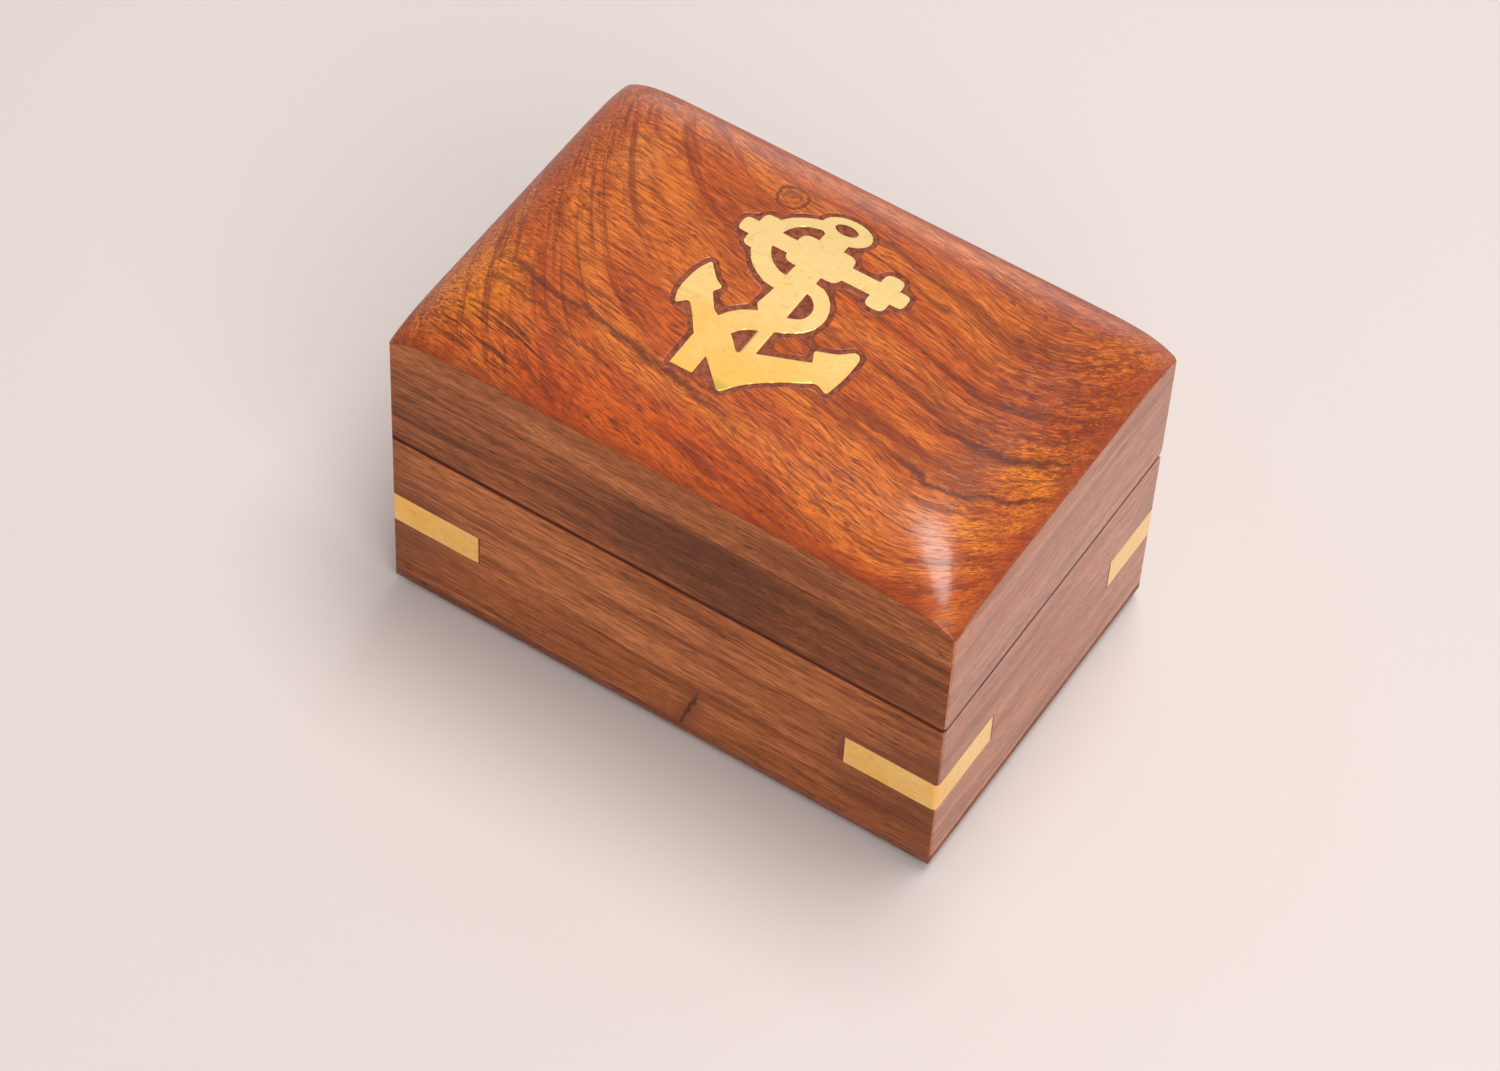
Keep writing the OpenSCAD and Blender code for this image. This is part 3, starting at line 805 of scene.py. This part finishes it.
# %% [markdown]
# ## The figure of the crowned top
# The top is the show side. Its bands sweep up at both ends, its fibres only at the right end, and
# a few dark growth lines run with the fibres. Behind the anchor sits a small eye, where a twig
# grew. All that could be painted on by hand. Following the grain is easier: the flow gives how far
# the grain is lifted at each place along the box, and a growth line is a level of that grain.

# %% Lift the grain of the top
SWEEP_POWER, FAN = 2.6, -0.2
# Where along X a sweep starts, how far on it is full (backwards if negative), and how high it lifts
LEFT_SWEEP, RIGHT_SWEEP = (-10, -40, 40.0), (28, 23, 16.0)


def swept(tree, x, start, span, lift):
    """A lift that grows from nothing at start to lift at start + span."""
    share = maths(tree, "MULTIPLY_ADD", x, 1 / span, -start / span)
    share = maths(tree, "POWER", maths(tree, "MAXIMUM", share, 0.0), SWEEP_POWER)
    return maths(tree, "MULTIPLY", share, lift)


def lid_flow(tree, x):
    """How far the bands and the fibres of the top are lifted over the plan, in millimetres."""
    fine = maths(tree, "MULTIPLY_ADD", x, FAN, swept(tree, x, *RIGHT_SWEEP))
    return maths(tree, "ADD", fine, swept(tree, x, *LEFT_SWEEP)), fine


# %% Draw the eye, the growth lines and the stained edge
INK, DEEP = (0.11, 0.02, 0.007, 1), (0.27, 0.035, 0.006, 1)
EYE_AT, EYE_STRAY, EYE_LUMPS_PER_MM = (-13.0, 22.4, 66.2), 1.2, 0.9
# The share of a ring's width that has its full colour; radius, width and weight of each ring
RING_CORE = 0.3
EYE_RINGS = ((2.5, 0.45, 0.75), (1.3, 0.3, 0.4), (0.0, 0.5, 0.6))
LINE_STRAY, SWAYS_PER_MM, FRAYS_PER_MM = 5.0, 0.16, 1.3
# A line starts and is full at these times its half width, and fades over this length in mm
LINE_RIM, LINE_CORE, LINE_FADE = 1.5, 0.5, 8
# Level of the grain, half width, from x, to x, weight
GROWTH_LINES = (
    (-21.2, 1.2, -46, 6, 0.8),
    (-25.5, 0.8, -48, -14, 0.55),
    (-17.5, 0.6, -38, -20, 0.45),
    (0.8, 1.3, 26, 54, 0.85),
    (-8.3, 1.3, 24, 54, 0.85),
    (5.5, 0.8, 24, 54, 0.6),
    (-3.6, 0.5, 34, 54, 0.4),
    (10.5, 1.0, 20, 54, 0.6),
    (-13.0, 0.7, 34, 54, 0.4),
)
STAIN_FROM, STAIN_FULL, STAIN_WEIGHT = 3.0, 0.2, 0.6


def away(tree, value, level):
    """How far a value lies from a level."""
    return maths(tree, "ABSOLUTE", maths(tree, "SUBTRACT", value, level))


def eye(tree, place, colour):
    """The small eye: two uneven rings and a dot."""
    feeds = {0: place, 1: EYE_AT}
    off = add_node(tree, "VectorMath", feeds, operation="DISTANCE").outputs["Value"]
    off = stray(tree, off, noise(tree, place, 1.0, scale=EYE_LUMPS_PER_MM), EYE_STRAY)
    for radius, width, weight in EYE_RINGS:
        ring = away(tree, off, radius)
        share = rescale(tree, ring, width, width * RING_CORE, 0.0, weight)
        colour = blend(tree, share, colour, INK)
    return colour


def growth_lines(tree, place, parts, colour):
    """Dark lines along levels of the grain, frayed, and faded at both ends."""
    grain = maths(tree, "SUBTRACT", parts["Y"], lid_flow(tree, parts["X"])[1])
    grain = stray(tree, grain, noise(tree, place, 3.0, scale=SWAYS_PER_MM), LINE_STRAY)
    fray = noise(tree, place, scale=FRAYS_PER_MM)
    for level, width, start, end, weight in GROWTH_LINES:
        near = maths(tree, "MULTIPLY_ADD", fray, width, away(tree, grain, level))
        share = rescale(tree, near, width * LINE_RIM, width * LINE_CORE, 0.0, weight)
        for rim, full in ((start, start + LINE_FADE), (end, end - LINE_FADE)):
            share = maths(tree, "MULTIPLY", share, rescale(tree, parts["X"], rim, full))
        colour = blend(tree, share, colour, INK)
    return colour


def top_marks(tree, place, parts, colour):
    """The eye, the growth lines, and the darker stain along the edges of the top."""
    colour = growth_lines(tree, place, parts, eye(tree, place, colour))
    from_edge = (
        maths(tree, "SUBTRACT", half, maths(tree, "ABSOLUTE", parts[axis]))
        for axis, half in (("X", HALF_L), ("Y", HALF_W))
    )
    edge = maths(tree, "MINIMUM", *from_edge)
    return blend(tree, rescale(tree, edge, STAIN_FROM, STAIN_FULL, 0.0, STAIN_WEIGHT), colour, DEEP)


# %% [markdown]
# The top is lacquered in a warm red gold. Its brightest patches lie at the left end and in the
# front corners, and it is deeper and redder behind the anchor and along the front.

# %% Finish the crowned top
# Palettes go from pale and middle bands to dark figure and black pores
RED_GOLD = (
    (0.76, 0.19, 0.022, 1),
    (0.6, 0.11, 0.011, 1),
    (0.17, 0.022, 0.005, 1),
    (0.04, 0.009, 0.005, 1),
)
GOLD, RUST = (0.86, 0.24, 0.016, 1), (0.62, 0.085, 0.004, 1)
AMBER, HONEY = (0.8, 0.21, 0.03, 1), (0.78, 0.25, 0.05, 1)
MAROON, RUSSET = (0.38, 0.06, 0.009, 1), (0.5, 0.09, 0.01, 1)
# Centre, reach along the three axes, colour, weight; curls and lines have no colour
TOP_TINTS = (
    ((-33, 2, 66), (12, 15, 30), AMBER, 0.7),
    ((-38, 16, 66), (8, 9, 30), HONEY, 0.7),
    ((-45, -19, 65), (11, 12, 30), GOLD, 0.95),
    ((-10, -28, 66), (38, 8, 30), RUST, 0.75),
    ((46, -4, 65), (9, 5, 30), GOLD, 0.9),
    ((42, -18, 65), (9, 4, 30), GOLD, 0.7),
    ((-12, 12, 66), (16, 14, 30), MAROON, 0.5),
    ((41, 14, 66), (14, 13, 30), RUSSET, 0.5),
)
TOP_CURLS = (((42, 10, 66), (19, 24, 30), 0.8), ((34, 28, 65), (22, 8, 30), 0.5))
TOP_LINES = (((-36, -27, 65), (20, 8, 30), 0.7),)

top_wood = rosewood(
    "top_rosewood",
    RED_GOLD,
    "XYZ",
    flow=lid_flow,
    tints=TOP_TINTS,
    curls=TOP_CURLS,
    lines=TOP_LINES,
    marks=top_marks,
    seed=3.1,
    rough=0.5,
    shine=0.12,
    coat=0.8,
    coat_rough=0.19,
)
dress(top_wood, "crowned_top")

# %% [markdown]
# ## Marks on the walls
# Along the seam a dark red line of painted shade lies on both lips, and the front wall has a
# small slanting scar left by a knot. Both could be cut into the mesh, but they are colour and not
# shape, so the finish draws them by their distance from a level and from a slanting line.

# %% Draw the painted shade on the lips and the scar
SEAM_Z = (RIM_Z["base"][0] + RIM_Z["lid"][0]) / 2
# Painted shade along the seam: its dark red colour, the distances from the seam where it starts and
# is full, and its weight
LIP_SHADE_COLOUR, LIP_SHADE_FROM, LIP_SHADE_FULL, LIP_SHADE_WEIGHT = (0.085, 0.014, 0.008, 1), 0.75, 0.3, 0.85
# The scar starts at this x and z on the front, and moves by its lean for each millimetre up
SCAR_X, SCAR_LOW, SCAR_HIGH, SCAR_LEAN = 4.5, 3.9, 15.5, 0.31
SCAR_STRAY, SCAR_LUMPS_PER_MM, SCAR_FADE, SCAR_CORE = 2.4, 0.5, 4, 0.2
SCAR_ENDS, SCAR_FULL = -HALF_W + 3, -HALF_W + 2  # along Y, so that only the front shows it
# Half width, weight and colour of its halo and of its core
SCAR_INKS = ((3.2, 0.45, (0.2, 0.06, 0.025, 1)), (0.55, 0.8, (0.07, 0.02, 0.01, 1)))


def seam_painted_shade(tree, place, parts, colour):
    """Painted shade: a dark red line along the two lips of the seam."""
    off = away(tree, parts["Z"], SEAM_Z)
    return blend(tree, rescale(tree, off, LIP_SHADE_FROM, LIP_SHADE_FULL, 0.0, LIP_SHADE_WEIGHT), colour, LIP_SHADE_COLOUR)


def wall_marks(tree, place, parts, colour):
    """The painted shade on the lips, and on the front the slanting scar."""
    climb = maths(tree, "SUBTRACT", parts["Z"], SCAR_LOW)
    line = maths(tree, "MULTIPLY_ADD", climb, SCAR_LEAN, SCAR_X)
    off = maths(tree, "SUBTRACT", parts["X"], line)
    off = stray(tree, off, noise(tree, place, scale=SCAR_LUMPS_PER_MM), SCAR_STRAY)
    off = maths(tree, "ABSOLUTE", off)
    low_down = rescale(tree, parts["Z"], SCAR_HIGH, SCAR_HIGH - SCAR_FADE)
    in_front = rescale(tree, parts["Y"], SCAR_ENDS, SCAR_FULL)
    where = maths(tree, "MULTIPLY", low_down, in_front)
    for width, weight, ink in SCAR_INKS:
        share = rescale(tree, off, width, width * SCAR_CORE, 0.0, weight)
        colour = blend(tree, maths(tree, "MULTIPLY", share, where), colour, ink)
    return seam_painted_shade(tree, place, parts, colour)


# %% [markdown]
# ## The walls, the rails and the bottom board
# The long sides are brown and only waxed, and the lid's long rails are the darkest wood on the
# box. The short sides are pinker and shine more. One finish could serve them all, but then the box
# would look printed, so each pair gets its own palette and its own run of grain.

# %% Finish the long sides
BROWN = (
    (0.7, 0.235, 0.08, 1),
    (0.5, 0.152, 0.047, 1),
    (0.19, 0.05, 0.018, 1),
    (0.035, 0.012, 0.007, 1),
)
SHADED = (
    (0.54, 0.16, 0.048, 1),
    (0.36, 0.1, 0.028, 1),
    (0.12, 0.032, 0.011, 1),
    (0.025, 0.01, 0.006, 1),
)
WALNUT = (0.17, 0.055, 0.026, 1)
BASE_TINTS = (
    ((50, -33, 18), (26, 60, 22), WALNUT, 0.75),
    ((-52, -33, 20), (20, 60, 22), WALNUT, 0.45),
)
RAIL_TINTS = (
    ((4, -33, 46), (26, 60, 14), WALNUT, 0.7),
    ((44, -33, 40), (22, 60, 8), WALNUT, 0.5),
)
RAIL_CURLS = (((14, -33, 46), (34, 20, 14), 0.6),)
waxed = {
    "rough": 0.4,
    "shine": 0.12,
    "marks": wall_marks,
    "wander": 4.0,
    "ripple": 1.0,
    "fibres": 0.62,
    "veins": 0.6,
    "fibre_length": 5.0,
}

base_long = rosewood("base_long_rosewood", BROWN, "XZY", seed=7.7, tints=BASE_TINTS, **waxed)
lid_long = rosewood(
    "lid_long_rosewood", SHADED, "XZY", seed=2.4, tints=RAIL_TINTS, curls=RAIL_CURLS, **waxed
)
dress(base_long, "eased_base_front_wall", "eased_base_back_wall")
dress(lid_long, "eased_lid_front_rail", "eased_lid_back_rail")

# %% Finish the short sides and the bottom board
PINK = (
    (0.64, 0.26, 0.15, 1),
    (0.51, 0.19, 0.105, 1),
    (0.28, 0.09, 0.05, 1),
    (0.1, 0.035, 0.022, 1),
)
RED_BROWN = (
    (0.4, 0.12, 0.05, 1),
    (0.3, 0.085, 0.035, 1),
    (0.13, 0.035, 0.017, 1),
    (0.035, 0.013, 0.009, 1),
)
polished = {
    "rough": 0.32,
    "shine": 0.55,
    # The short sides take the painted shade along the seam
    "marks": seam_painted_shade,
    "wander": 4.0,
    "ripple": 1.0,
    "fibres": 0.45,
    "pores": 0.6,
}

short = rosewood("short_rosewood", PINK, "YZX", seed=1.3, **polished)
for side in ("left", "right"):
    dress(short, f"eased_base_{side}_wall", f"eased_lid_{side}_rail")
board_wood = rosewood("board_rosewood", RED_BROWN, "XYZ", rough=0.45, shine=0.35, seed=5.2)
dress(board_wood, "bottom_board")

# %% [markdown]
# ## The edges of the top board
# The lacquered colour stops at the edge of the top. Below it the board's sides look like the
# walls, so they get finishes of their own. A second piece could carry them, but a mesh can hold
# several finishes, and each face says by number which one it takes.

# %% Finish the edges and ends of the top board
UPRIGHT = 0.35  # a face whose normal has less than this along Z is upright


def on_rim(face):
    """Whether a face of the top lies on the outside of the box."""
    return on_outside(*(face.center.xy / MM))


def on_long_side(face):
    """Whether a face of the top lies on the outside and looks along Y."""
    return on_rim(face) and abs(face.normal.y) > abs(face.normal.x)


def dress_faces(finish, wanted):
    """Gives the finish to the upright faces of the top that pass the test."""
    number = len(top.data.materials)
    top.data.materials.append(finish)
    chosen = 0
    for face in top.data.polygons:
        if abs(face.normal.z) < UPRIGHT and wanted(face):
            face.material_index = number
            chosen += 1
    print(finish.name, "on", chosen, "faces of the top")


edge_wood = rosewood("top_edge_rosewood", BROWN, "XZY", rough=0.4, shine=0.12, seed=4.4)
end_wood = rosewood(
    "top_end_rosewood", PINK, "YZX", rough=0.32, shine=0.55, seed=6.1, fibres=0.35
)
dress_faces(edge_wood, on_long_side)
dress_faces(end_wood, lambda face: on_rim(face) and not on_long_side(face))

# %% [markdown]
# ## Brass
# Sheet brass that has been sanded and buffed is neither a mirror nor one colour. Its orange and
# yellow mix in random clouds, and it is painted paler yellow towards the back and more orange
# towards the front as a painted sheen. It has fine scratches along the box, a few tarnished spots,
# and a greenish stain at the anchor's foot. A fully metallic shader would mirror the pale room and
# turn white, so the metal is mixed with a good part of plain colour.

# %% Define the buffed brass
TARNISH = (0.62, 0.3, 0.05, 1)
CLOUD_STRAY, CLOUDS_PER_MM = 26.0, 0.16
SPOTS_PER_MM, SCRATCHES_PER_MM = 0.7, (0.5, 9.0, 9.0)
# Noise values between which something shows, and what it goes from and to
SPOTS_SHOW, SCRATCHES_SHOW = (0.56, 0.75, 0.0, 0.25), (0.32, 0.2, 0.0, 0.15)
SCRATCHES_ROUGHEN = (0.3, 0.7, 0.26, 0.42)
METAL, BRASS_STRENGTH, BRASS_RELIEF = 0.4, 0.35, 0.01


def buffed(name, sheen_yellow, orange, sheen_fall, stains=()):
    """Brass, orange before and yellow behind the two places along Y in sheen_fall, the paler yellow
    being painted sheen, with stains.
    """
    finish, tree, shader, place, parts = new_finish(name)
    cloud = noise(tree, place, 3.0, 0.55, scale=CLOUDS_PER_MM)
    # Painted sheen: the brass turns paler yellow towards the back, its border shoved about by
    # clouds
    level = stray(tree, parts["Y"], cloud, CLOUD_STRAY)
    tone = blend(tree, rescale(tree, level, *sheen_fall), orange, sheen_yellow)
    fine = (maths(tree, "MULTIPLY", parts[a], n) for a, n in zip("XYZ", SCRATCHES_PER_MM))
    scratches = noise(tree, point(tree, *fine), 3.0, 0.7)
    spots = noise(tree, place, 3.0, scale=SPOTS_PER_MM)
    tone = blend(tree, rescale(tree, spots, *SPOTS_SHOW), tone, TARNISH)
    for centre, reach, tint, weight in stains:
        tone = lay(tree, tone, patch(tree, place, centre, reach), weight, tint)
    tone = blend(tree, rescale(tree, scratches, *SCRATCHES_SHOW), tone, TARNISH)
    tree.links.new(tone, shader.inputs["Base Color"])
    shader.inputs["Metallic"].default_value = METAL
    rough = rescale(tree, scratches, *SCRATCHES_ROUGHEN)
    tree.links.new(rough, shader.inputs["Roughness"])
    emboss(tree, shader, scratches, BRASS_STRENGTH, BRASS_RELIEF)
    return finish


# %% Finish the anchor, the strips and the hinges
FOOT_STAIN = (((-1.5, -17.5, 66), (7, 2.6, 30), (0.5, 0.36, 0.05, 1), 0.75),)
# Yellow of the painted sheen, orange, the two places along Y between which one turns into the
# other, and stains
BRASSES = {
    "anchor_brass": ((0.96, 0.67, 0.27, 1), (0.93, 0.5, 0.08, 1), (-24, 12), FOOT_STAIN),
    "strip_brass": ((1, 0.69, 0.27, 1), (1, 0.5, 0.05, 1), (-46, -20)),
    "hinge_brass": ((0.9, 0.62, 0.24, 1), (0.85, 0.5, 0.14, 1), (10, 50)),
}
brass = {name: buffed(name, *look) for name, look in BRASSES.items()}
strips = [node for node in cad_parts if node.startswith(("strip_front", "strip_back"))]
hinges = [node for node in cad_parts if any(w in node for w in ("leaf", "pin", "screws"))]
dress(brass["anchor_brass"], "anchor")
dress(brass["strip_brass"], *strips)
dress(brass["hinge_brass"], *hinges)

# %% [markdown]
# ## The dark filling
# Resin mixed with wood dust holds the brass. It is matt and gritty, and darker than the wood. It
# also shows on the walls of the pocket, where a light wood would draw a bright rim round the
# anchor, so those faces of the top take the same finish.

# %% Finish the filling and the pocket
RESIN_DARK, RESIN_PALE = (0.16, 0.032, 0.014, 1), (0.32, 0.085, 0.04, 1)
RESIN_SHINE, GRITS_PER_MM = 0.2, 1.1
GRIT_SHOWS, GRIT_ROUGHENS = (0.35, 0.65), (0.3, 0.7, 0.3, 0.5)
RESIN_STRENGTH, RESIN_RELIEF = 0.5, 0.05

resin, tree, shader, place, parts = new_finish("dark_resin")
shader.inputs["Specular IOR Level"].default_value = RESIN_SHINE
grit = noise(tree, place, 4.0, 0.7, scale=GRITS_PER_MM)
tone = blend(tree, rescale(tree, grit, *GRIT_SHOWS), RESIN_DARK, RESIN_PALE)
tree.links.new(tone, shader.inputs["Base Color"])
tree.links.new(rescale(tree, grit, *GRIT_ROUGHENS), shader.inputs["Roughness"])
emboss(tree, shader, grit, RESIN_STRENGTH, RESIN_RELIEF)
dress(resin, "anchor_bed", "strip_filling")
dress_faces(resin, lambda face: not on_rim(face))

# %% [markdown]
# ## The felt
# A thin dark blue felt lies on the floor of the box. Its nap could be grown as hair, but on felt
# this thin that would look like fur. So the nap is noise of two sizes, worn patches and pale lint,
# with a little sheen, which lights up cloth where one looks along it.

# %% Finish the felt
FELT_DARK, FELT_WORN = (0.016, 0.028, 0.075, 1), (0.03, 0.05, 0.12, 1)
LINT_COLOUR = (0.08, 0.11, 0.2, 1)
NAPS_PER_MM, LINTS_PER_MM = 0.9, 5.0
WORN_SHOWS, LINT_SHOWS = (0.35, 0.65), (0.5, 0.75, 0.0, 0.4)
FELT_SOCKETS = {"Roughness": 0.95, "Sheen Weight": 0.5, "Sheen Roughness": 0.5}
FELT_STRENGTH, FELT_RELIEF = 0.8, 0.15

felt, tree, shader, place, parts = new_finish("blue_felt")
nap = noise(tree, place, 4.0, 0.75, scale=NAPS_PER_MM)
lint = noise(tree, place, 3.0, 0.8, scale=LINTS_PER_MM)
tone = blend(tree, rescale(tree, nap, *WORN_SHOWS), FELT_DARK, FELT_WORN)
tone = blend(tree, rescale(tree, lint, *LINT_SHOWS), tone, LINT_COLOUR)
tree.links.new(tone, shader.inputs["Base Color"])
for socket, value in FELT_SOCKETS.items():
    shader.inputs[socket].default_value = value
emboss(tree, shader, lint, FELT_STRENGTH, FELT_RELIEF)
dress(felt, "floor_felt")
